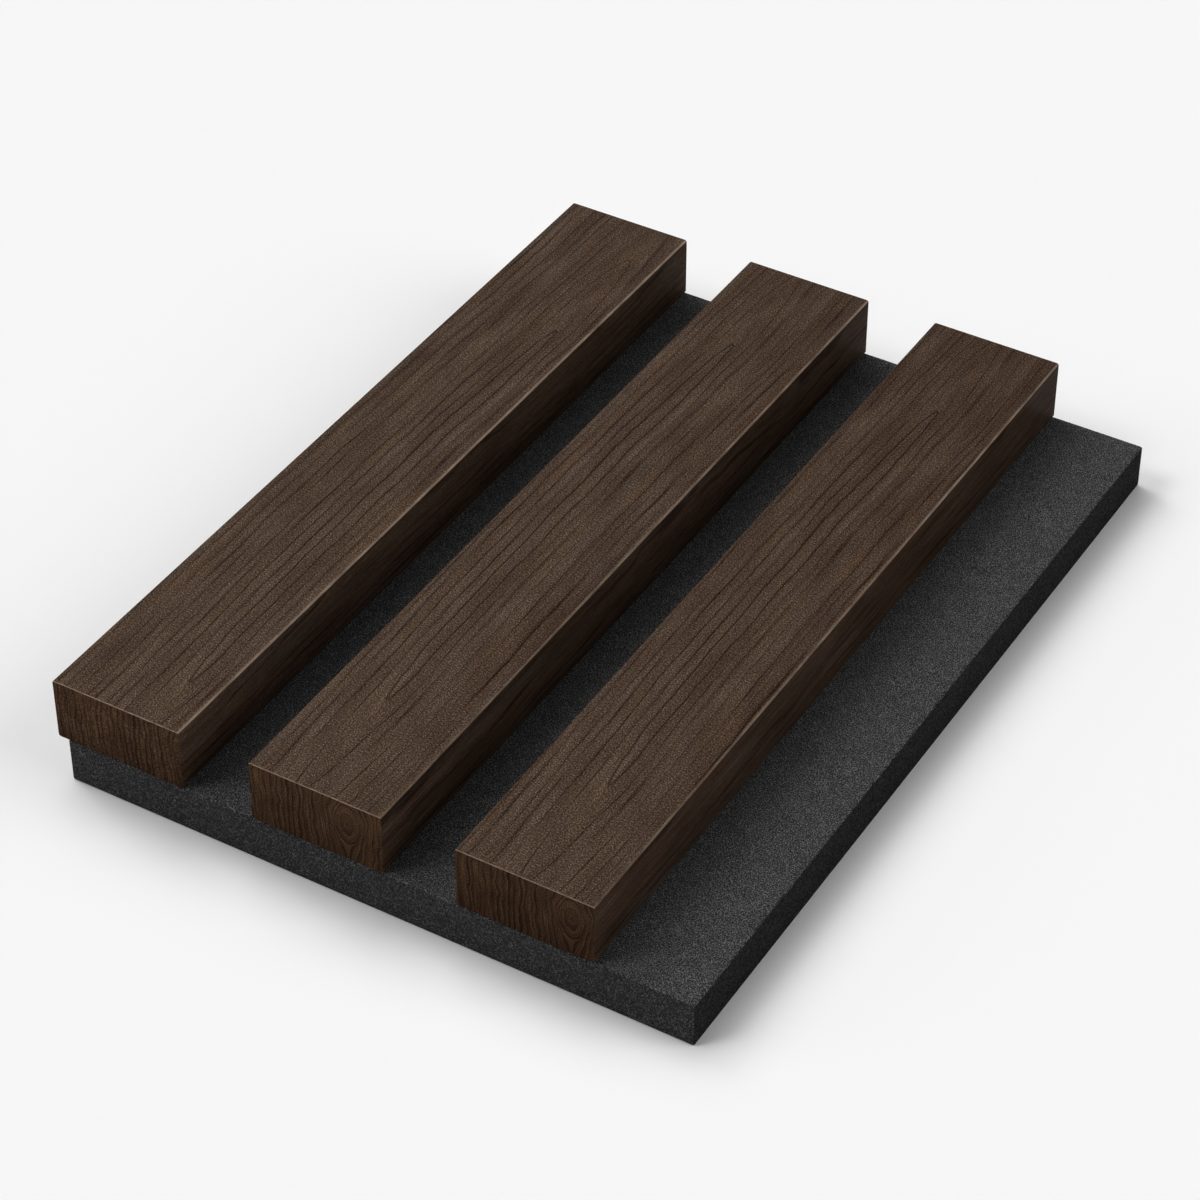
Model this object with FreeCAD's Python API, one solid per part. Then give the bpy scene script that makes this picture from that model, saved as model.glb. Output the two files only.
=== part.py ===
import FreeCAD, Part
import math
import os

# Acoustic slat wall panel: three solid timber slats on a board of dense felt, stapled from behind.
# Lengths are in millimetres. X runs across the slats, Y along them, and Z from the back face to the room.
# The origin is under the middle of the whole panel, in the plane of its back face.

# Slats
slat_names = ("left_slat", "middle_slat", "right_slat")
slat_width = 26.0
slat_thickness = 12.35
slat_gap = 14.0
slat_edge_radius = 0.5  # on the long arrises, rounded over with the profile
slat_end_radius = 0.2  # on the arrises of the sawn ends, only broken with sandpaper

# Backing board
panel_length = 168.8
backing_thickness = 9.0
left_overhang = 2.0  # the left slat stands this far past the board's left edge
right_lip = 18.3  # bare felt beside the right slat, for the seam with the next panel
felt_edge_radius = 0.4

# Staples: flat wire bent to a narrow crown, with chisel points
staples_per_slat = 3
staple_end_distance = 22.0  # from the panel's end to the first staple
crown_width = 5.8  # over both legs
wire_width = 1.25  # along the slat
wire_thickness = 1.0
bend_radius = 0.6  # on the inside of the bend
point_height = 1.3
tip_cover = 4.75  # timber left between a point and the slat's front face
crown_depth = 0.7  # how far the crown is driven below the back face
dimple_spread = 0.9  # how far the felt is drawn in beside the crown, at the back face

# Places worked out from the sizes above
slat_pitch = slat_width + slat_gap
slats_across = slat_pitch * len(slat_names) - slat_gap
panel_width = slats_across + right_lip
panel_left = -panel_width / 2
panel_near = -panel_length / 2
slat_back = backing_thickness
slat_front = backing_thickness + slat_thickness
point_level = slat_front - tip_cover


def slat_left_edge(index):
    return panel_left + index * slat_pitch


def slat_centre_line(index):
    return slat_left_edge(index) + slat_width / 2


def staple_rows():
    """Y of each staple along a slat, evenly spaced between the two end distances."""
    first = panel_near + staple_end_distance
    span = panel_length - 2 * staple_end_distance
    step = span / max(staples_per_slat - 1, 1)
    return [first + row * step for row in range(staples_per_slat)]


def eased_block(low, size, side_radius, end_radius):
    """A rectangular block with its long arrises rounded over, and then the arrises of its two ends."""
    block = Part.makeBox(size.x, size.y, size.z, low)
    along = [edge for edge in block.Edges if edge.BoundBox.YLength > size.y / 2]
    block = block.makeFillet(side_radius, along)
    around_ends = [edge for edge in block.Edges if edge.BoundBox.YLength < size.y / 2]
    return block.makeFillet(end_radius, around_ends)


def bend(centre_x, centre_z, radius, start_angle, end_angle):
    """An arc in the XZ plane from one angle to the other, in degrees."""
    points = []
    for angle in (start_angle, (start_angle + end_angle) / 2, end_angle):
        turn = math.radians(angle)
        x = centre_x + radius * math.cos(turn)
        z = centre_z + radius * math.sin(turn)
        points.append(FreeCAD.Vector(x, 0, z))
    return Part.Arc(*points).toShape()


def line(start, end):
    return Part.LineSegment(FreeCAD.Vector(start[0], 0, start[1]), FreeCAD.Vector(end[0], 0, end[1])).toShape()


def staple(centre_x, centre_y):
    """One staple: its outline in the XZ plane, extruded by the width of the wire."""
    half = crown_width / 2
    outer_radius = bend_radius + wire_thickness
    bend_x = half - outer_radius
    bend_z = crown_depth + outer_radius
    inner_x = half - wire_thickness
    tip_x = half - wire_thickness / 2
    shoulder = point_level - point_height
    crown_inside = crown_depth + wire_thickness
    outline = [
        line((-half, shoulder), (-half, bend_z)),
        bend(-bend_x, bend_z, outer_radius, 180, 270),
        line((-bend_x, crown_depth), (bend_x, crown_depth)),
        bend(bend_x, bend_z, outer_radius, 270, 360),
        line((half, bend_z), (half, shoulder)),
        line((half, shoulder), (tip_x, point_level)),
        line((tip_x, point_level), (inner_x, shoulder)),
        line((inner_x, shoulder), (inner_x, bend_z)),
        bend(bend_x, bend_z, bend_radius, 360, 270),
        line((bend_x, crown_inside), (-bend_x, crown_inside)),
        bend(-bend_x, bend_z, bend_radius, 270, 180),
        line((-inner_x, bend_z), (-inner_x, shoulder)),
        line((-inner_x, shoulder), (-tip_x, point_level)),
        line((-tip_x, point_level), (-half, shoulder)),
    ]
    face = Part.Face(Part.Wire(outline))
    wire = face.extrude(FreeCAD.Vector(0, wire_width, 0))
    wire.translate(FreeCAD.Vector(centre_x, centre_y - wire_width / 2, 0))
    return wire


def rectangle(centre_x, centre_y, size_x, size_y, level):
    left, right = centre_x - size_x / 2, centre_x + size_x / 2
    near, far = centre_y - size_y / 2, centre_y + size_y / 2
    corners = [(left, near), (right, near), (right, far), (left, far), (left, near)]
    return Part.makePolygon([FreeCAD.Vector(x, y, level) for x, y in corners])


def dimple(centre_x, centre_y):
    """The hollow that a driven crown draws into the felt: wide at the back face, the crown's size below."""
    mouth = rectangle(centre_x, centre_y, crown_width + 2 * dimple_spread, wire_width + 2 * dimple_spread, 0)
    floor = rectangle(centre_x, centre_y, crown_width, wire_width, crown_depth)
    return Part.makeLoft([mouth, floor], True, True)


def timber_slat(index, staples):
    """One solid slat, with the slots that the staple legs bite into it."""
    low = FreeCAD.Vector(slat_left_edge(index), panel_near, slat_back)
    size = FreeCAD.Vector(slat_width, panel_length, slat_thickness)
    return eased_block(low, size, slat_edge_radius, slat_end_radius).cut(staples)


def felt_board(staples, dimples):
    """The backing, pierced by every leg and dimpled behind every crown."""
    low = FreeCAD.Vector(panel_left + left_overhang, panel_near, 0)
    size = FreeCAD.Vector(panel_width - left_overhang, panel_length, backing_thickness)
    return eased_block(low, size, felt_edge_radius, felt_edge_radius).cut(staples + dimples)


def save(name, shape):
    shape.exportStep(os.path.join("parts", name + ".step"))
    print(name, "solids", len(shape.Solids), "volume", round(shape.Volume, 1))


os.makedirs("parts", exist_ok=True)
all_staples = []
all_dimples = []
for slat_index, slat_name in enumerate(slat_names):
    centre = slat_centre_line(slat_index)
    slat_staples = [staple(centre, row) for row in staple_rows()]
    all_staples += slat_staples
    all_dimples += [dimple(centre, row) for row in staple_rows()]
    save(slat_name, timber_slat(slat_index, slat_staples))
save("backing_board", felt_board(all_staples, all_dimples))
save("staples", Part.makeCompound(all_staples))
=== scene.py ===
import functools
import math
import random

import bmesh
import bpy
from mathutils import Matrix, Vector, noise


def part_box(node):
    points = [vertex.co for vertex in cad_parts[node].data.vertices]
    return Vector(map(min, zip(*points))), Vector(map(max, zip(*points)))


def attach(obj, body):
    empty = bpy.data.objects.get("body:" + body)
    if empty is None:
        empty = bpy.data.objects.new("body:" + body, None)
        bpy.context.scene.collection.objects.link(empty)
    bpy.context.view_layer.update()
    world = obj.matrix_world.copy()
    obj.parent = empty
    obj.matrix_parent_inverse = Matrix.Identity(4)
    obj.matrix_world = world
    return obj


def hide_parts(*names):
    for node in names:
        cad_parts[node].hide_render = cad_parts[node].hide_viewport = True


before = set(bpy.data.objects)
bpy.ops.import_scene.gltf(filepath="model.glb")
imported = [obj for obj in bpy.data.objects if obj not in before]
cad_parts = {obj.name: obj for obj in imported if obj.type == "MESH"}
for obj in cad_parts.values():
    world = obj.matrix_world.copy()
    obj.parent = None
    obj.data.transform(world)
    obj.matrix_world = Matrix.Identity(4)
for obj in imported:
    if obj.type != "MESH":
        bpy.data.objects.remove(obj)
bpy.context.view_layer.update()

# Acoustic slat wall panel: stained hardwood slats on a board of charcoal felt, lying on its back.
# Places come from the frame, in metres. Sizes of details are written in millimetres and turned by MM.
MM = 0.001
slat_names = ("left_slat", "middle_slat", "right_slat")
slat_boxes = {name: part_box(name) for name in slat_names}

# Camera: the photograph's view, a long lens from the front right
view_azimuth = 30.85
view_elevation = 39.53
view_distance = 0.6484
view_aim = Vector((-0.0012, -0.0073, 0.010))
lens_length = 110

# Soft boxes, far enough off to light the whole floor alike:
# name, azimuth from the front towards the right, elevation, apparent width in degrees, radiance
soft_boxes = (
    ("key_front_left", 315, 50, 20, 6.65),
    ("key_left", 255, 40, 20, 5.75),
    ("high_back_left", 240, 62, 44, 2.73),
    ("low_front_left", 300, 35, 44, 1.76),
    ("low_right", 105, 35, 44, 2.46),
    ("high_back_right", 150, 62, 44, 0.43),
)


def direction(azimuth, elevation):
    """Unit vector from the object towards a place: azimuth 0 is the front (-Y), 90 is the right (+X)."""
    turn = math.radians(azimuth)
    rise = math.radians(elevation)
    return Vector((math.cos(rise) * math.sin(turn), -math.cos(rise) * math.cos(turn), math.sin(rise)))


def place_facing(thing, place, target):
    thing.location = place
    thing.rotation_euler = (target - place).to_track_quat("-Z", "Y").to_euler()
    bpy.context.scene.collection.objects.link(thing)


def set_camera():
    data = bpy.data.cameras.new("camera")
    data.lens = lens_length
    data.sensor_width = 36
    camera = bpy.data.objects.new("camera", data)
    place_facing(camera, view_aim + view_distance * direction(view_azimuth, view_elevation), view_aim)
    bpy.context.scene.camera = camera


def set_lamps():
    for name, azimuth, elevation, width, radiance in soft_boxes:
        data = bpy.data.lights.new(name, "SUN")
        data.angle = math.radians(width)
        data.energy = radiance * math.pi * math.sin(data.angle / 2) ** 2
        lamp = bpy.data.objects.new(name, data)
        place_facing(lamp, direction(azimuth, elevation), Vector())


# Colours and nodes
def linear(hex_colour):
    """An sRGB hex colour as the linear values that a shader takes."""
    channels = [int(hex_colour[i:i + 2], 16) / 255 for i in (1, 3, 5)]
    return tuple(c / 12.92 if c <= 0.04045 else ((c + 0.055) / 1.055) ** 2.4 for c in channels) + (1.0,)


def add_node(tree, kind, inputs=(), **settings):
    """Adds one shader node. Inputs are a tuple in socket order or a dict by socket, and each is a value, a
    socket, or a node that stands for its first output. A list of (place, colour) is a ramp's stops."""
    node = tree.nodes.new("ShaderNode" + kind)
    stops = settings.pop("stops", ())
    for key, value in settings.items():
        setattr(node, key, value)
    pairs = inputs.items() if isinstance(inputs, dict) else enumerate(inputs)
    for socket, value in pairs:
        value = value.outputs[0] if isinstance(value, bpy.types.Node) else value
        if isinstance(value, bpy.types.NodeSocket):
            tree.links.new(value, node.inputs[socket])
        else:
            node.inputs[socket].default_value = value
    for index, (place, colour) in enumerate(stops):
        elements = node.color_ramp.elements
        element = elements[index] if index < 2 else elements.new(place)
        element.position = place
        element.color = linear(colour)
    return node


def new_material(name):
    """An empty material, and the function that adds nodes to it."""
    material = bpy.data.materials.new(name)
    material.use_nodes = True
    material.node_tree.nodes.clear()
    return material, functools.partial(add_node, material.node_tree)


def in_millimetres(add, corner=(0.0, 0.0, 0.0)):
    """The surface's own place in millimetres from a corner, and its normal."""
    coordinates = add("TexCoord")
    scale = (1 / MM, 1 / MM, 1 / MM)
    shift = tuple(-c / MM for c in corner)
    place = add("Mapping", {"Vector": coordinates.outputs["Object"], "Location": shift, "Scale": scale})
    return place, coordinates.outputs["Normal"]


def pattern(add, place, size, detail=1.0, **more):
    """Noise with features about as large as the given size in mm along each axis."""
    scaled = add("VectorMath", (place, tuple(1 / s for s in size)), operation="MULTIPLY")
    return add("TexNoise", {"Vector": scaled, "Scale": 1.0, "Detail": detail, **more})


def blend_tones(add, tone, layers):
    """Adds each layer to a tone about its own middle, times its weight."""
    for layer, middle, weight in layers:
        centred = add("Math", (layer, middle), operation="SUBTRACT")
        tone = add("Math", (centred, weight, tone), operation="MULTIPLY_ADD")
    return tone


# Timber, in mm on the board that all three slats were sawn from. The board's face has one very long closed
# loop of grain, and the growth lines lie outside it like tall rings.
board_offsets = {"left_slat": (9.2, -13.2), "middle_slat": (0.0, 0.0), "right_slat": (2.5, 0.8)}
loop_middle = 83.8  # along the board, where the loop is widest
loop_reach = 58.9  # from there to either tip
loop_across = 9.5  # from the board's edge to the loop, where it is widest
loop_bow = 1.2  # how much further across its tips are
loop_half_width = 1.3
loop_taper = 2.35  # power by which the rings draw together towards the ends
tip_slope = 0.05  # how steeply they do at a tip
ring_gap = 1.95
line_half_width = 0.14
grit_size = 0.22  # the pores and the raised grain, drawn coarser than the real 0.1 mm, so that they show
plain_zone = 9.5  # across from the loop, past which the lines are dense and fine
swirl_across = 19.3  # the oval swirl in the end grain
swirl_below = 4.6
swirl_radius = 2.5
swirl_squash = 0.56  # its height is its width divided by this
end_line_gap = 1.15
# Tone of the face, with painted shade that darkens it towards the far end, and strength of the painted
# highlight on the long arris, each at the near and the far end of a slat
face_tones_shaded_to_far_end = {"left_slat": (0.625, 0.58), "middle_slat": (0.625, 0.56), "right_slat": (0.61, 0.51)}
long_arris_highlight = {"left_slat": (0.88, 0.98), "middle_slat": (0.36, 0.80), "right_slat": (0.34, 0.72)}
# Strength of the painted highlight on the top arris of the near end
end_arris_highlight = {"left_slat": 0.85, "middle_slat": 0.73, "right_slat": 0.64}
end_tones = {"left_slat": 0.565, "middle_slat": 0.56, "right_slat": 0.515}
# Share of painted shade that darkens the sides
side_shade = {"left_slat": 0.28, "middle_slat": 0.30, "right_slat": 0.38}
far_tone_place = 165.0  # mm from the near end of the board, where the far end's painted shade and arris highlight are fully reached


def ring_field(add, place, axes):
    """Distance from the loop's heart with its side as the sign, the plain distance, and its gradient."""
    slow = pattern(add, place, (11, 19, 11))
    quick = pattern(add, place, (3, 5, 3))
    across = blend_tones(add, axes.outputs["X"], ((slow, 0.5, 1.5), (quick, 0.5, 0.42)))
    along = add("Math", (axes.outputs["Y"], loop_middle), operation="SUBTRACT")
    along = add("Math", (along, 1 / loop_reach), operation="MULTIPLY")
    along = add("Math", (along,), operation="ABSOLUTE")
    bow = add("Math", (along, 2.0), operation="POWER")
    bow = add("Math", (bow, 1.0), operation="MINIMUM")
    heart = add("Math", (bow, loop_bow, loop_across), operation="MULTIPLY_ADD")
    beside = add("Math", (across, heart), operation="SUBTRACT")
    rise = add("Math", (along, loop_taper), operation="POWER")
    rise = add("Math", (rise, loop_half_width), operation="MULTIPLY")
    ring = add("VectorMath", (add("CombineXYZ", (beside, rise, axes.outputs["Z"])),), operation="LENGTH")
    ring = ring.outputs["Value"]
    flank = add("Math", (rise, tip_slope), operation="MULTIPLY")
    flank = add("CombineXYZ", (beside, flank, axes.outputs["Z"]))
    gradient = add("VectorMath", (flank,), operation="LENGTH").outputs["Value"]
    gradient = add("Math", (gradient, ring), operation="DIVIDE")
    gradient = add("Math", (gradient, 0.1), operation="MAXIMUM")
    side = add("Math", (beside,), operation="SIGN")
    signed = add("Math", (ring, side), operation="MULTIPLY")
    return signed, ring, gradient, side


def growth_lines(add, axes, signed, ring, gradient, side):
    """Thin dark lines where the rings meet the face, that fade in and out along the board."""
    spread = add("TexNoise", {"W": signed, "Scale": 0.37, "Detail": 0.0}, noise_dimensions="1D")
    steps = add("Math", (ring, loop_half_width), operation="SUBTRACT")
    steps = add("Math", (steps, 1 / ring_gap), operation="MULTIPLY")
    beyond = add("MapRange", {"Value": ring, "From Min": loop_half_width, "From Max": 3 * loop_half_width})
    steps = blend_tones(add, steps, ((spread, 0.5, beyond),))
    number = add("Math", (steps,), operation="ROUND")
    off = add("Math", (steps, number), operation="SUBTRACT")
    off = add("Math", (off,), operation="ABSOLUTE")
    off = add("Math", (off, ring_gap), operation="MULTIPLY")
    off = add("Math", (off, gradient), operation="DIVIDE")
    line = add("MapRange", {"Value": off, "From Min": 0.02, "From Max": 2 * line_half_width, "To Min": 1.0,
                            "To Max": 0.0}, interpolation_type="SMOOTHSTEP")
    apart = add("Math", (side, 40.0), operation="MULTIPLY")
    apart = add("Math", (number, 7.3, apart), operation="MULTIPLY_ADD")
    along = add("Math", (axes.outputs["Y"], 1 / 17), operation="MULTIPLY")
    lane = add("CombineXYZ", (apart, along, axes.outputs["Z"]))
    fade = add("TexNoise", {"Vector": lane, "Scale": 1.0, "Detail": 2.0})
    fade = add("MapRange", {"Value": fade, "From Min": 0.36, "From Max": 0.66, "To Min": 0.12})
    is_loop = add("Math", (0.9, add("Math", (number,), operation="ABSOLUTE")), operation="SUBTRACT")
    fade = add("Math", (fade, is_loop), operation="MAXIMUM")
    return add("Math", (line, fade), operation="MULTIPLY")


def face_grain(add, place, axes, on_side, tones):
    """Tone and height of the faces along the grain, from the tones at the near and the far end; the darker
    far tone is painted shade.
    """
    signed, ring, gradient, side = ring_field(add, place, axes)
    line = growth_lines(add, axes, signed, ring, gradient, side)
    lane = add("CombineXYZ", (signed, axes.outputs["Y"], axes.outputs["Z"]))
    bands = pattern(add, lane, (1.3, 75, 3), 1.0)
    threads = pattern(add, lane, (0.52, 34, 1.2), 1.0)
    thread = add("MapRange", {"Value": threads, "From Min": 0.56, "From Max": 0.66},
                 interpolation_type="SMOOTHSTEP")
    plain = add("MapRange", {"Value": signed, "From Min": plain_zone, "From Max": plain_zone + 1.5,
                             "To Min": 0.32, "To Max": 0.85})
    thread = add("Math", (thread, plain), operation="MULTIPLY")
    clouds = pattern(add, place, (4.5, 17, 4.5), 2.0)
    fibres = pattern(add, place, (0.17, 3.2, 0.17), 1.0)
    grit = pattern(add, place, (grit_size, grit_size * 1.4, grit_size), 1.0)
    # The planed sides show faint lengthwise streaks, and less grit
    planed = pattern(add, place, (0.36, 10, 0.36), 2.0)
    planed = add("MapRange", {"Value": planed, "To Min": 0.25, "To Max": 0.75})
    less_grit = add("Math", (on_side, 0.65), operation="MULTIPLY")
    grit = add("Mix", {0: less_grit, 2: grit, 3: planed})
    near_tone, far_shaded_tone = tones
    # Painted shade: the face darkens from its near tone to the far tone
    middle_tone = add("MapRange", {"Value": axes.outputs["Y"], "From Max": far_tone_place,
                                   "To Min": near_tone, "To Max": far_shaded_tone})
    tone = blend_tones(add, middle_tone, (
        (bands, 0.5, 0.32), (clouds, 0.5, 0.40), (fibres, 0.5, 0.36), (grit, 0.5, 1.95),
        (thread, 0.0, -0.17), (line, 0.0, -0.42), (plain, 0.32, -0.10)))
    height = blend_tones(add, grit, ((line, 0.0, -0.7), (thread, 0.0, -0.25), (fibres, 0.5, 0.5)))
    return tone, height


def end_grain(add, place, axes, middle_tone):
    """Tone and height of the sawn ends: lines up the face that part round an oval swirl."""
    slow = pattern(add, place, (2.6, 40, 4.5), 1.0)
    quick = pattern(add, place, (0.7, 40, 1.6), 1.0)
    across = blend_tones(add, axes.outputs["X"], ((slow, 0.5, 1.7), (quick, 0.5, 0.3)))
    beside = add("Math", (across, swirl_across), operation="SUBTRACT")
    below = add("Math", (axes.outputs["Z"], swirl_below), operation="ADD")
    below = add("Math", (below, swirl_squash), operation="MULTIPLY")
    away = add("CombineXYZ", (beside, below, 0.0))
    away = add("VectorMath", (away,), operation="LENGTH").outputs["Value"]
    near = add("Math", (swirl_radius, away), operation="DIVIDE")
    near = add("Math", (near, 2.0), operation="POWER")
    parted = add("Math", (1.0, near), operation="SUBTRACT")
    outside = add("Math", (beside, parted), operation="MULTIPLY")
    inside = add("Math", (swirl_radius, away), operation="SUBTRACT")
    is_inside = add("Math", (inside, 0.0), operation="GREATER_THAN")
    ring = add("Mix", {0: is_inside, 2: outside, 3: inside})
    spread = add("TexNoise", {"W": ring, "Scale": 0.6, "Detail": 1.0}, noise_dimensions="1D")
    spread = add("Math", (spread, 1.6), operation="MULTIPLY")
    steps = add("Math", (ring, 1 / end_line_gap, spread), operation="MULTIPLY_ADD")
    steps = add("Math", (steps,), operation="FRACT")
    line = add("MapRange", {"Value": steps, "From Max": 0.5, "To Min": 1.0, "To Max": 0.0},
               interpolation_type="SMOOTHSTEP")
    lane = add("CombineXYZ", (ring, axes.outputs["Y"], axes.outputs["Z"]))
    threads = pattern(add, lane, (0.25, 40, 6), 1.0)
    clouds = pattern(add, place, (3.5, 40, 5), 1.0)
    grit = pattern(add, place, (grit_size, 40, grit_size), 1.0)
    depth = add("MapRange", {"Value": axes.outputs["Z"], "From Min": -12.0, "From Max": -3.0,
                             "To Min": -0.10, "To Max": 0.0})
    tone = blend_tones(add, middle_tone, (
        (threads, 0.5, 0.45), (clouds, 0.5, 0.25), (grit, 0.5, 0.95),
        (line, 0.3, -0.24), (depth, 0.0, 1.0)))
    height = blend_tones(add, grit, ((line, 0.0, -0.5), (threads, 0.5, 0.8)))
    return tone, height


def slat_timber(slat):
    """Hardwood stained dark brown and oiled: fine dark growth lines, a grainy satin face, painted
    highlights on the arrises.
    """
    material, add = new_material("stained_hardwood_" + slat)
    low, high = slat_boxes[slat]
    across, along = board_offsets[slat]
    corner = (low.x + across * MM, low.y + along * MM, high.z)
    place, normal = in_millimetres(add, corner)
    axes = add("SeparateXYZ", (place,))
    facing = add("VectorMath", (normal,), operation="ABSOLUTE")
    facing = add("SeparateXYZ", (facing,))
    on_side = add("Math", (facing.outputs["X"], 3.0), operation="POWER")
    face_tone, face_height = face_grain(add, place, axes, on_side, face_tones_shaded_to_far_end[slat])
    end_tone, end_height = end_grain(add, place, axes, end_tones[slat])
    face_colour = add("ValToRGB", (face_tone,), stops=(
        (0.0, "#1a130e"), (0.3, "#33261f"), (0.55, "#46372d"), (0.8, "#59493d"), (1.0, "#786857")))
    end_colour = add("ValToRGB", (end_tone,), stops=(
        (0.0, "#0f0806"), (0.3, "#251710"), (0.5, "#38281c"), (0.75, "#543e2d"), (1.0, "#805f45")))

    # The stain lies warmer in some streaks than in others
    streaks = pattern(add, place, (2.2, 30, 2.2), 2.0)
    warmth = add("MapRange", {"Value": streaks, "From Min": 0.3, "From Max": 0.7,
                              "To Min": 0.90, "To Max": 1.10})
    face_colour = add("HueSaturation", {"Saturation": warmth, "Color": face_colour})

    is_end = add("MapRange", {"Value": facing.outputs["Y"], "From Min": 0.6, "From Max": 0.8},
                 interpolation_type="SMOOTHSTEP")
    colour = add("Mix", {0: is_end, 6: face_colour, 7: end_colour}, data_type="RGBA").outputs[2]
    height = add("Mix", {0: is_end, 2: face_height, 3: end_height})

    # The sides are painted darker, as shade
    side_shade_share = add("Math", (on_side, side_shade[slat]), operation="MULTIPLY")
    colour = add("Mix", {0: side_shade_share, 6: colour, 7: linear("#241a13")}, data_type="RGBA").outputs[2]

    # A pale highlight is painted on the right and front arrises, broken up by noise, and strongest towards
    # the far end
    turned = add("SeparateXYZ", (normal,))
    arris_highlight = add("ValToRGB", (turned.outputs["Z"],), stops=(
        (0.36, "#000000"), (0.52, "#f4f4f4"), (0.75, "#ffffff"), (0.86, "#c0c0c0"), (0.96, "#b4b4b4"),
        (0.999, "#000000")))
    near_highlight, far_highlight = long_arris_highlight[slat]
    highlight_strength = add("MapRange", {"Value": axes.outputs["Y"], "From Max": far_tone_place,
                            "To Min": near_highlight, "To Max": far_highlight})
    on_long = add("MapRange", {"Value": turned.outputs["X"], "From Max": 0.12, "To Max": highlight_strength})
    on_near = add("MapRange", {"Value": turned.outputs["Y"], "From Max": -0.12,
                               "To Max": end_arris_highlight[slat]})
    highlight_breaks = pattern(add, place, (1.5, 5, 1.5), 1.0)
    highlight_breaks = add("MapRange", {"Value": highlight_breaks, "From Min": 0.3, "From Max": 0.65, "To Min": 0.45})
    on_either = add("Math", (on_long, on_near), operation="MAXIMUM")
    arris_highlight = add("Math", (arris_highlight, on_either), operation="MULTIPLY")
    arris_highlight = add("Math", (arris_highlight, highlight_breaks), operation="MULTIPLY")
    # Painted highlight: the arrises are mixed towards a pale tan
    colour = add("Mix", {0: arris_highlight, 6: colour, 7: linear("#b29a86")}, data_type="RGBA").outputs[2]

    bump = add("Bump", {"Height": height, "Strength": 0.5, "Distance": 0.1 * MM})
    roughness = add("MapRange", {"Value": face_tone, "From Min": 0.2, "From Max": 0.9,
                                 "To Min": 0.42, "To Max": 0.32})
    shader = add("BsdfPrincipled", {"Base Color": colour, "Roughness": roughness, "Normal": bump,
                                    "IOR": 1.45, "Specular IOR Level": 0.005})
    add("OutputMaterial", {"Surface": shader})
    return material


# Felt
fibre_scale = 0.22  # mm, drawn coarser than the real 0.03 mm fibre, so that it shows


def felt():
    """Needled polyester felt, charcoal: a matte tangle of grey and black fibre, with painted shade that
    darkens the cut edges, most of all the long sides.
    """
    material, add = new_material("needled_polyester_felt")
    place, normal = in_millimetres(add)
    grain = pattern(add, place, (fibre_scale,) * 3, 1.0, Roughness=0.6)
    for degrees in (20, 80, 140):
        lane = add("VectorRotate", {"Vector": place, "Angle": math.radians(degrees)},
                   rotation_type="Z_AXIS")
        strands = pattern(add, lane, (fibre_scale * 0.9, fibre_scale * 6, fibre_scale * 2), 0.0)
        strands = add("MapRange", {"Value": strands, "From Min": 0.52, "From Max": 0.72, "To Max": 0.035})
        grain = add("Math", (grain, strands), operation="ADD")
    tangle = pattern(add, place, (0.7, 0.7, 0.7), 2.0, Distortion=2.0)
    clumps = pattern(add, place, (4, 4, 4), 1.0)
    tone = blend_tones(add, 0.5, (
        (grain, 0.53, 2.6), (tangle, 0.5, 0.05), (clumps, 0.5, 0.10)))
    face_colour = add("ValToRGB", (tone,), stops=(
        (0.0, "#141414"), (0.35, "#2e2e2e"), (0.6, "#434343"), (1.0, "#787878")))
    # Painted shade: the cut edges are darker than the face, and the long sides darkest
    shaded_cut_colour = add("ValToRGB", (tone,), stops=(
        (0.0, "#202020"), (0.4, "#2e2e2e"), (0.7, "#3a3a3a"), (1.0, "#626262")))
    deep_shaded_side_colour = add("ValToRGB", (tone,), stops=(
        (0.0, "#0a0a0a"), (0.5, "#191919"), (1.0, "#393939")))
    facing = add("VectorMath", (normal,), operation="ABSOLUTE")
    facing = add("SeparateXYZ", (facing,))
    is_long_side = add("MapRange", {"Value": facing.outputs["X"], "From Min": 0.5, "From Max": 0.9})
    is_face = add("MapRange", {"Value": facing.outputs["Z"], "From Min": 0.2, "From Max": 0.8})
    shaded_edge_colour = add("Mix", {0: is_long_side, 6: shaded_cut_colour, 7: deep_shaded_side_colour}, data_type="RGBA").outputs[2]
    colour = add("Mix", {0: is_face, 6: shaded_edge_colour, 7: face_colour}, data_type="RGBA").outputs[2]
    height = blend_tones(add, grain, ((tangle, 0.5, 0.25),))
    bump = add("Bump", {"Height": height, "Strength": 0.7, "Distance": 0.2 * MM})
    shader = add("BsdfPrincipled", {"Base Color": colour, "Roughness": 0.95, "Normal": bump,
                                    "IOR": 1.45, "Specular IOR Level": 0.01,
                                    "Sheen Weight": 0.02, "Sheen Roughness": 0.5})
    add("OutputMaterial", {"Surface": shader})
    return material


def loose_fibre():
    """The same polyester as single strands: paler, since light passes through them."""
    material, add = new_material("loose_polyester_fibre")
    place, normal = in_millimetres(add)
    shades = pattern(add, place, (1.5, 1.5, 1.5), 1.0)
    colour = add("ValToRGB", (shades,), stops=((0.3, "#2b2b2b"), (0.5, "#4a4a4a"), (0.7, "#7c7c7c")))
    shader = add("BsdfPrincipled", {"Base Color": colour, "Roughness": 0.7, "Specular IOR Level": 0.2,
                                    "Sheen Weight": 0.1})
    add("OutputMaterial", {"Surface": shader})
    return material


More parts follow.
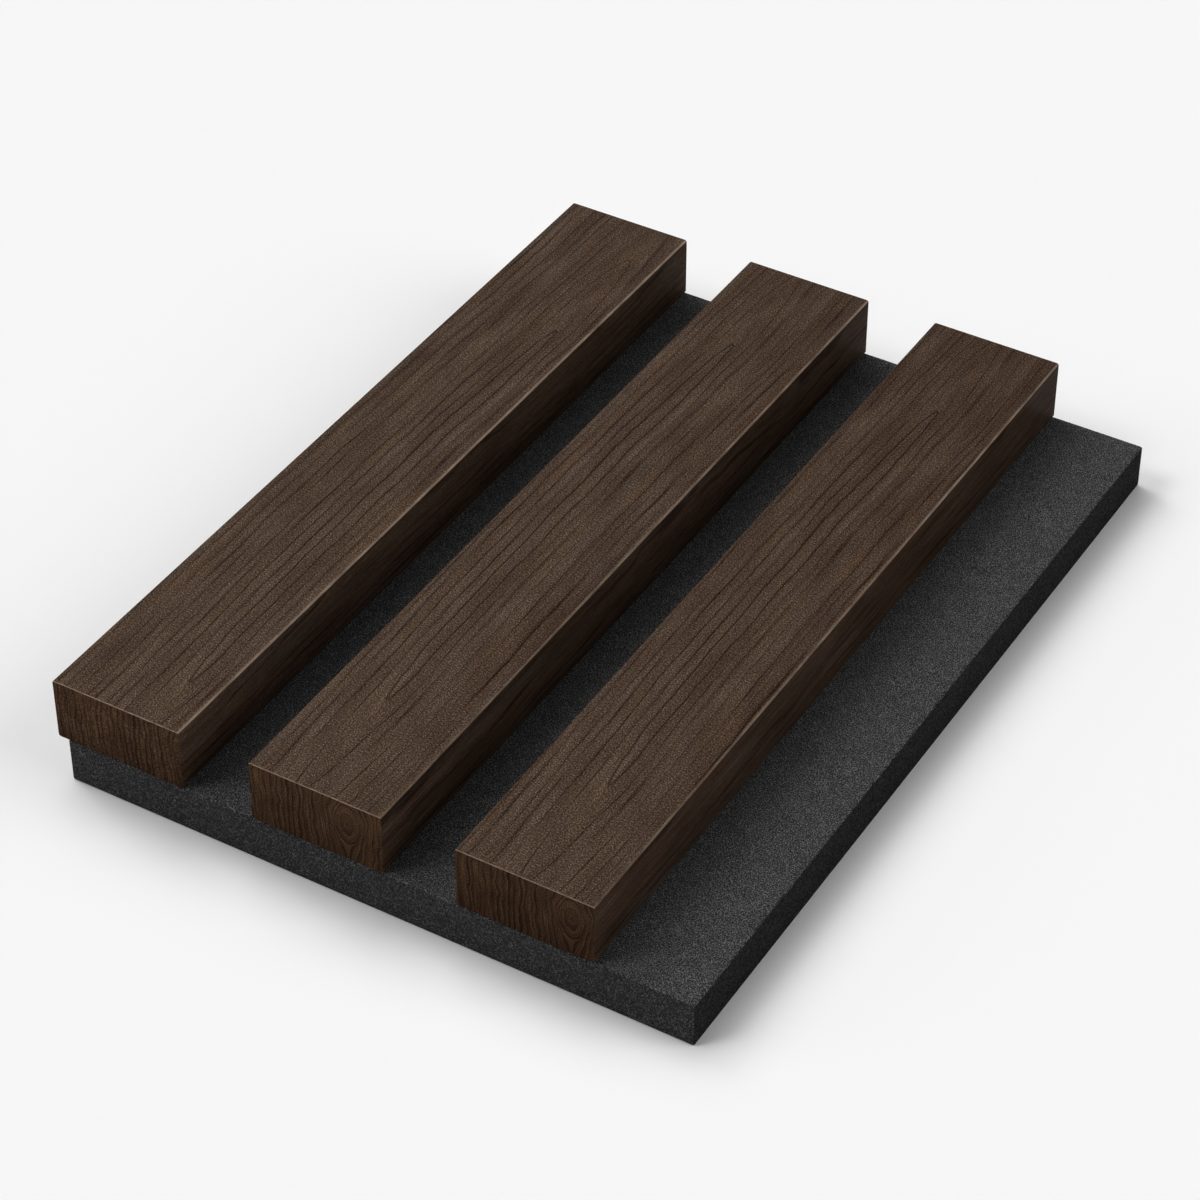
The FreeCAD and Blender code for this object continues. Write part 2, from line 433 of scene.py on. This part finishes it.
def staple_wire():
    """Galvanised steel wire, drawn flat: bright grey with faint lines from the die."""
    material, add = new_material("galvanised_steel_wire")
    place, normal = in_millimetres(add)
    lines = pattern(add, place, (4, 0.12, 4), 2.0)
    spangle = pattern(add, place, (0.8, 0.8, 0.8), 1.0)
    tone = blend_tones(add, spangle, ((lines, 0.5, 0.5),))
    colour = add("ValToRGB", (tone,), stops=((0.3, "#85888a"), (0.55, "#b0b3b5"), (0.8, "#cfd1d2")))
    bump = add("Bump", {"Height": lines, "Strength": 0.3, "Distance": 0.03 * MM})
    roughness = add("MapRange", {"Value": spangle, "To Min": 0.28, "To Max": 0.45})
    shader = add("BsdfPrincipled", {"Base Color": colour, "Roughness": roughness, "Metallic": 1.0,
                                    "Normal": bump})
    add("OutputMaterial", {"Surface": shader})
    return material


def pale_floor():
    """Matte white studio board: plain, so that it only takes the soft shadow."""
    material, add = new_material("matte_white_board")
    shader = add("BsdfDiffuse", {"Color": linear(floor_white)})
    add("OutputMaterial", {"Surface": shader})
    return material


# Pieces
felt_grid = 1.5 * MM  # pitch of the board's mesh
felt_edge_radius = 0.4 * MM
face_unevenness = 0.05 * MM
cut_unevenness = 0.03 * MM
staple_end_distance = 22.0 * MM
crown_length = 5.8 * MM
crown_thickness = 1.25 * MM
dimple_lip = 0.4 * MM  # the rounded rim of the hollow behind a staple
dimple_wall = 0.5 * MM
dimple_lip_depth = 0.15 * MM
dimple_depth = 0.9 * MM
fibre_count = 2600
fibre_radius = 0.03 * MM
fibre_length = (0.8 * MM, 2.4 * MM)
fibre_lift = 0.22 * MM
fibre_root = 0.1 * MM  # how deep both ends go back into the felt
fibre_bow = 0.35  # the most that one bows sideways, as a share of its length
foot_clearance = 0.6 * MM  # the felt's lowest edge is left without loose fibres


def add_piece(name, mesh, material):
    mesh.materials.append(material)
    piece = bpy.data.objects.new(name, mesh)
    bpy.context.scene.collection.objects.link(piece)
    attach(piece, "root")
    return piece


def staple_places():
    """X and Y of the middle of each staple: under each slat's centre line, at both ends and the middle."""
    places = []
    for low, high in slat_boxes.values():
        first = low.y + staple_end_distance
        last = high.y - staple_end_distance
        places += [((low.x + high.x) / 2, y) for y in (first, (first + last) / 2, last)]
    return places


def under_a_slat(point, margin=0.0):
    for low, high in slat_boxes.values():
        if low.x - margin < point.x < high.x + margin:
            return True
    return False


def divide_along(shape, axis, pitch):
    """Cuts every edge that runs along an axis into even steps."""
    edges = []
    for edge in shape.edges:
        run = edge.verts[1].co[axis] - edge.verts[0].co[axis]
        if abs(run) > 0.99 * edge.calc_length():
            edges.append(edge)
    count = round(max(edge.calc_length() for edge in edges) / pitch)
    bmesh.ops.subdivide_edges(shape, edges=edges, cuts=count - 1, use_grid_fill=True)


def move_nearest_line(shape, axis, target):
    """Moves the mesh line nearest to a place until it lies there."""
    gap = min(abs(vert.co[axis] - target) for vert in shape.verts)
    for vert in shape.verts:
        if abs(vert.co[axis] - target) < gap + 0.01 * MM:
            vert.co[axis] = target


def make_felt_board():
    """The board: a block with soft edges, a slightly uneven face, and a hollow behind each staple."""
    low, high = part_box("backing_board")
    shape = bmesh.new()
    bmesh.ops.create_cube(shape, size=1.0)
    bmesh.ops.scale(shape, vec=high - low, verts=shape.verts)
    bmesh.ops.translate(shape, vec=(low + high) / 2, verts=shape.verts)
    half_x = crown_length / 2 + dimple_lip + dimple_wall
    half_y = crown_thickness / 2 + dimple_lip + dimple_wall
    for axis in range(3):
        divide_along(shape, axis, felt_grid)
    for x, y in staple_places():
        for side in (-1, 1):
            move_nearest_line(shape, 0, x + side * half_x)
            move_nearest_line(shape, 1, y + side * half_y)
    rim = [edge for edge in shape.edges if edge.calc_face_angle(0.0) > 1.0]
    bmesh.ops.bevel(shape, geom=rim, offset=felt_edge_radius, segments=3, profile=0.5, affect="EDGES",
                    material=-1)
    for x, y in staple_places():
        hollow = []
        for face in shape.faces:
            middle = face.calc_center_median()
            if face.normal.z < -0.9 and abs(middle.x - x) < half_x and abs(middle.y - y) < half_y:
                hollow.append(face)
        for width, sink in ((dimple_lip, dimple_lip_depth), (dimple_wall, dimple_depth - dimple_lip_depth)):
            bmesh.ops.inset_region(shape, faces=hollow, thickness=width, use_even_offset=True)
            corners = {corner for face in hollow for corner in face.verts}
            bmesh.ops.translate(shape, vec=(0, 0, sink), verts=list(corners))
    soften_felt(shape, low, high)
    for face in shape.faces:
        face.smooth = True
    mesh = bpy.data.meshes.new("felt_board")
    shape.to_mesh(mesh)
    shape.free()
    board = add_piece("felt_board", mesh, felt())
    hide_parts("backing_board")


def soften_felt(shape, low, high):
    """Lifts the bare face and moves the cut edges in and out a little, as pressed fibre lies."""
    for vert in shape.verts:
        place = vert.co / MM
        wave = 0.6 * noise.noise(place / 6) + 0.4 * noise.noise(place / 1.7)
        on_face = vert.co.z > high.z - felt_edge_radius * 0.5
        on_side = min(vert.co.x - low.x, high.x - vert.co.x) < felt_edge_radius * 0.5
        on_end = min(vert.co.y - low.y, high.y - vert.co.y) < felt_edge_radius * 0.5
        if on_face and not under_a_slat(vert.co, felt_grid):
            vert.co.z += face_unevenness * wave
        if vert.co.z > low.z + felt_grid * 0.5:
            if on_side:
                vert.co.x += cut_unevenness * wave
            if on_end:
                vert.co.y += cut_unevenness * wave


def make_loose_fibres():
    """Strands that stand a little out of the felt's bare face and cut edges, and go back into it."""
    low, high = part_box("backing_board")
    dice = random.Random(7)
    curve = bpy.data.curves.new("loose_fibres", "CURVE")
    curve.dimensions = "3D"
    curve.bevel_depth = fibre_radius
    curve.bevel_resolution = 0
    curve.use_fill_caps = True
    curve.resolution_u = 2
    size = high - low
    up = Vector((0, 0, 1))
    right = Vector((1, 0, 0))
    front = Vector((0, -1, 0))
    back = Vector((0, 1, 0))
    # Each surface: how many of the fibres it has, a corner, its two directions, its outward normal
    top = Vector((low.x, low.y, high.z))
    rim = top + right * (size.x - felt_edge_radius)
    surfaces = (
        (0.62, top, right * size.x, back * size.y, up),
        (0.20, low, right * size.x, up * size.z, front),
        (0.10, low + back * size.y, right * size.x, up * size.z, back),
        (0.05, top, right * size.x, back * 0.5 * MM, (up + front).normalized()),
        (0.03, rim, right * 0.3 * MM, back * size.y, (up + right).normalized()),
    )
    for share, corner, across, along, out in surfaces:
        made = 0
        while made < share * fibre_count:
            start = corner + across * dice.uniform(0.01, 0.99) + along * dice.uniform(0.01, 0.99)
            turn = dice.uniform(0, 2 * math.pi)
            run = across.normalized() * math.cos(turn) + along.normalized() * math.sin(turn)
            reach = dice.uniform(*fibre_length)
            end = start + run * reach
            if not all(low[i] <= end[i] <= high[i] for i in range(3)):
                continue
            if out.z > 0.5 and (under_a_slat(start, 0.3 * MM) or under_a_slat(end, 0.3 * MM)):
                continue
            if min(start.z, end.z) < low.z + foot_clearance:
                continue
            bend = run.cross(out) * reach * dice.uniform(-fibre_bow, fibre_bow)
            lift = out * fibre_lift * dice.uniform(0.3, 1.0)
            points = (
                start - out * fibre_root,
                start + (end - start) * 0.33 + lift + bend,
                start + (end - start) * 0.7 + lift * 0.7 + bend * 0.6,
                end - out * fibre_root,
            )
            strand = curve.splines.new("NURBS")
            strand.points.add(len(points) - 1)
            for point, place in zip(strand.points, points):
                point.co = (*place, 1.0)
            strand.order_u = 3
            strand.use_endpoint_u = True
            made += 1
    bundle = bpy.data.objects.new("fibre_curves", curve)
    mesh = bpy.data.meshes.new_from_object(bundle)
    bpy.data.objects.remove(bundle)
    mesh.materials.clear()
    mesh.name = "felt_fibres"
    for face in mesh.polygons:
        face.use_smooth = True
    add_piece("felt_fibres", mesh, loose_fibre())


def dress(node, material):
    """Gives a rigid piece its finish."""
    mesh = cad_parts[node].data
    mesh.materials.clear()
    mesh.materials.append(material)


# Stage
floor_half_width = 4.0
floor_white = "#f7f7f7"


def set_floor():
    mesh = bpy.data.meshes.new("floor")
    shape = bmesh.new()
    bmesh.ops.create_grid(shape, x_segments=1, y_segments=1, size=floor_half_width)
    shape.to_mesh(mesh)
    shape.free()
    mesh.materials.append(pale_floor())
    floor = bpy.data.objects.new("floor", mesh)
    bpy.context.scene.collection.objects.link(floor)


def set_world():
    """The floor's white beyond the floor, to the eye and in reflections, with no light of its own."""
    world = bpy.data.worlds.new("studio")
    world.use_nodes = True
    world.node_tree.nodes.clear()
    add = functools.partial(add_node, world.node_tree)
    path = add("LightPath")
    seen = add("Math", (path.outputs["Is Camera Ray"], path.outputs["Is Glossy Ray"]), operation="MAXIMUM")
    seen = add("Math", (seen, path.outputs["Is Transmission Ray"]), operation="MAXIMUM")
    white = add("Background", {"Color": linear(floor_white), "Strength": seen})
    add("OutputWorld", {"Surface": white})
    bpy.context.scene.world = world


for slat_name in slat_names:
    dress(slat_name, slat_timber(slat_name))
dress("staples", staple_wire())
make_felt_board()
make_loose_fibres()
set_floor()
set_lamps()
set_world()
set_camera()
bpy.context.scene.view_settings.view_transform = "Standard"
